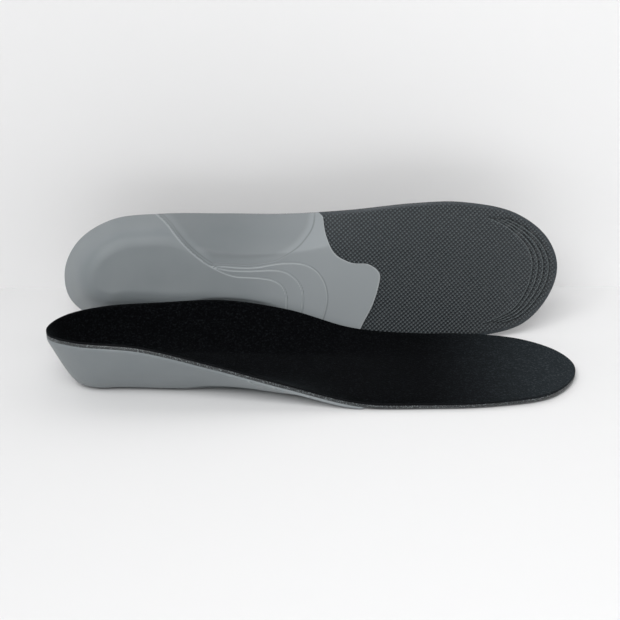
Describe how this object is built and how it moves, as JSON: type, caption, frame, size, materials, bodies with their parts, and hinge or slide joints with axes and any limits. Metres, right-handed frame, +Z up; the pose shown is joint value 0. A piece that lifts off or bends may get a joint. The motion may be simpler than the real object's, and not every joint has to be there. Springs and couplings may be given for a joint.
{
  "type": "cushioned insole",
  "caption": "Pair of full-length arch-support insoles: moulded heel cup and arch shell, foam cushion layer and black textile cover; one lies flat, one stands on edge.",
  "frame": {"origin": "centre of the pair's footprint, on the surface that both insoles rest on", "axes": "+X from heel to toe of the right insole, +Z up, the right insole towards -Y and the left insole standing behind it towards +Y"},
  "size_m": [0.2886, 0.1242, 0.0761],
  "materials": {
    "top_cover": "brushed black textile with a short nap",
    "cushion": "dark grey foam, knurled underside",
    "support_shell": "smooth satin grey moulded foam",
    "heel_pad": "soft matte blue-grey gel"
  },
  "bodies": {
    "right_insole": {"right_top_cover_rear": "top_cover", "right_cushion_rear": "cushion", "right_support_shell": "support_shell", "right_heel_pad": "heel_pad"},
    "right_forefoot": {"right_top_cover_forefoot": "top_cover", "right_cushion_forefoot": "cushion"},
    "left_insole": {"left_top_cover_rear": "top_cover", "left_cushion_rear": "cushion", "left_support_shell": "support_shell", "left_heel_pad": "heel_pad"},
    "left_forefoot": {"left_top_cover_forefoot": "top_cover", "left_cushion_forefoot": "cushion"}
  },
  "joints": [
    {"name": "right_forefoot_flex", "type": "hinge", "parent": "right_insole", "child": "right_forefoot", "pos_m": [0.05592, -0.02385, 0.007], "axis": [-0.2079, -0.9781, 0], "range_deg": [0, 45], "stiffness_Nm_per_rad": 0.15},
    {"name": "left_insole_lift", "type": "slide", "parent": "right_insole", "child": "left_insole", "axis": [0, 0, 1], "range_m": [0, 0.12]},
    {"name": "left_forefoot_flex", "type": "hinge", "parent": "left_insole", "child": "left_forefoot", "pos_m": [0.05415, 0.03595, 0.03543], "axis": [0.2243, 0.3279, 0.9177], "range_deg": [0, 45], "stiffness_Nm_per_rad": 0.15}
  ]
}
